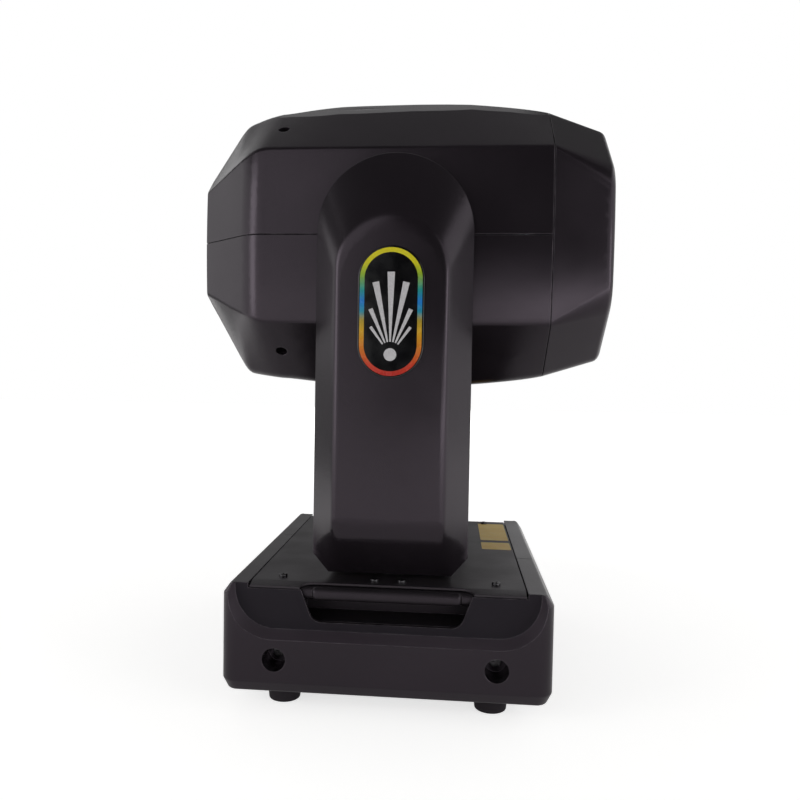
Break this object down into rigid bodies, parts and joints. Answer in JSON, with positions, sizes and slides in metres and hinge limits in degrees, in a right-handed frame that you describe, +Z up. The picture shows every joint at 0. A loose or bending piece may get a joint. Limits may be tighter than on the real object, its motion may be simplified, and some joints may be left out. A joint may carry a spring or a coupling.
{
  "type": "moving head laser projector",
  "caption": "Moving-head laser show projector: a base with recessed handles carries a panning yoke whose arms hold a tilting faceted head with a laser aperture in its front.",
  "frame": {"origin": "on the floor under the pan axis, in the middle of the base", "axes": "+X the way the beam leaves at rest, +Y from the badge side to the far arm, +Z up"},
  "size_m": [0.322, 0.292, 0.462],
  "materials": {
    "moulded_charcoal": "moulded ABS with a fine matte texture",
    "handle_black": "moulded glass-filled nylon, matte",
    "powder_black": "black powder coat on folded sheet steel",
    "screw_steel": "blackened pan-head screws with bright drive crosses",
    "foot_rubber": "moulded black rubber",
    "badge_gloss": "clear-domed print, black field in a coloured ring",
    "lens_dark": "polished dark acrylic",
    "key_rubber": "moulded silicone key",
    "circuit_green": "solder-masked glass-fibre board",
    "socket_black": "moulded black nylon",
    "plate_zinc": "zinc-plated sheet steel",
    "bearing_steel": "ground bearing steel",
    "pulley_aluminium": "turned aluminium",
    "motor_black": "black painted stepper motor",
    "belt_rubber": "black timing belt",
    "supply_aluminium": "perforated aluminium cage",
    "sink_aluminium": "black anodised extrusion",
    "module_aluminium": "bead-blasted machined aluminium",
    "fan_black": "moulded black plastic",
    "aperture_clear": "coated flat glass",
    "mirror_coat": "coated glass mirror on a steel shaft"
  },
  "bodies": {
    "base": {"base_plate": "powder_black", "base_top_plate": "powder_black", "base_cover_near": "moulded_charcoal", "base_cover_far": "moulded_charcoal", "handle_near": "handle_black", "handle_far": "handle_black", "base_screws": "screw_steel", "rubber_feet": "foot_rubber", "display_panel": "handle_black", "display_window": "lens_dark", "key_board": "circuit_green", "connector_panel": "powder_black", "power_inlet": "socket_black", "data_input": "socket_black", "data_output": "socket_black", "power_supply": "supply_aluminium", "control_board": "circuit_green", "pan_deck": "plate_zinc", "pan_bearing": "bearing_steel", "pan_motor": "motor_black", "pan_belt": "belt_rubber"},
    "pan_motor_pulley": {"pan_motor_pulley": "pulley_aluminium"},
    "yoke": {"pan_pulley": "pulley_aluminium", "pan_shaft": "pulley_aluminium", "yoke_plate": "plate_zinc", "arm_plate_near": "plate_zinc", "arm_plate_far": "plate_zinc", "bridge_cover": "moulded_charcoal", "arm_cover_near": "moulded_charcoal", "arm_cover_far": "moulded_charcoal", "arm_liner_near": "moulded_charcoal", "arm_liner_far": "moulded_charcoal", "arm_badge": "badge_gloss", "tilt_bearings": "bearing_steel", "tilt_motor": "motor_black", "tilt_belt": "belt_rubber"},
    "tilt_motor_pulley": {"tilt_motor_pulley": "pulley_aluminium"},
    "head": {"tilt_pulley": "pulley_aluminium", "trunnion_near": "plate_zinc", "trunnion_far": "plate_zinc", "head_upper_shell": "moulded_charcoal", "head_lower_shell": "moulded_charcoal", "head_screws": "screw_steel", "front_bezel": "moulded_charcoal", "front_plate": "powder_black", "aperture_glass": "aperture_clear", "head_deck": "plate_zinc", "laser_module": "module_aluminium", "heat_sink": "sink_aluminium", "driver_boards": "circuit_green", "rear_grille": "powder_black", "fan_frame": "fan_black", "scanner_mount": "module_aluminium"},
    "fan_rotor": {"fan_rotor": "fan_black"},
    "scan_mirror_x": {"scan_mirror_x": "mirror_coat"},
    "scan_mirror_y": {"scan_mirror_y": "mirror_coat"},
    "menu_key_1": {"menu_key_1": "key_rubber"},
    "menu_key_2": {"menu_key_2": "key_rubber"},
    "menu_key_3": {"menu_key_3": "key_rubber"},
    "menu_key_4": {"menu_key_4": "key_rubber"}
  },
  "joints": [
    {"name": "pan", "type": "hinge", "parent": "base", "child": "yoke", "pos_m": [0, 0, 0], "axis": [0, 0, 1], "range_deg": [-270, 270]},
    {"name": "tilt", "type": "hinge", "parent": "yoke", "child": "head", "pos_m": [0, 0, 0.348], "axis": [0, 1, 0], "range_deg": [-225, 45]},
    {"name": "pan_motor_turn", "type": "hinge", "parent": "base", "child": "pan_motor_pulley", "pos_m": [0.078, 0, 0.06], "axis": [0, 0, 1], "range_deg": [-1080, 1080]},
    {"name": "tilt_motor_turn", "type": "hinge", "parent": "yoke", "child": "tilt_motor_pulley", "pos_m": [0, -0.104, 0.125], "axis": [0, 1, 0], "range_deg": [-675, 135]},
    {"name": "fan_spin", "type": "hinge", "parent": "head", "child": "fan_rotor", "pos_m": [-0.145, 0, 0.348], "axis": [1, 0, 0], "continuous": true},
    {"name": "scan_x", "type": "hinge", "parent": "head", "child": "scan_mirror_x", "pos_m": [0.105, 0, 0.33], "axis": [1, 0, 0], "range_deg": [-12, 12]},
    {"name": "scan_y", "type": "hinge", "parent": "head", "child": "scan_mirror_y", "pos_m": [0.105, 0, 0.348], "axis": [0, 1, 0], "range_deg": [-12, 12]},
    {"name": "key_1_press", "type": "slide", "parent": "base", "child": "menu_key_1", "axis": [-1, 0, 0], "range_m": [0, 0.0012], "stiffness_N_per_m": 800},
    {"name": "key_2_press", "type": "slide", "parent": "base", "child": "menu_key_2", "axis": [-1, 0, 0], "range_m": [0, 0.0012], "stiffness_N_per_m": 800},
    {"name": "key_3_press", "type": "slide", "parent": "base", "child": "menu_key_3", "axis": [-1, 0, 0], "range_m": [0, 0.0012], "stiffness_N_per_m": 800},
    {"name": "key_4_press", "type": "slide", "parent": "base", "child": "menu_key_4", "axis": [-1, 0, 0], "range_m": [0, 0.0012], "stiffness_N_per_m": 800}
  ],
  "couplings": [
    {"joint": "pan_motor_turn", "follows": "pan", "ratio": 4},
    {"joint": "tilt_motor_turn", "follows": "tilt", "ratio": 3}
  ]
}
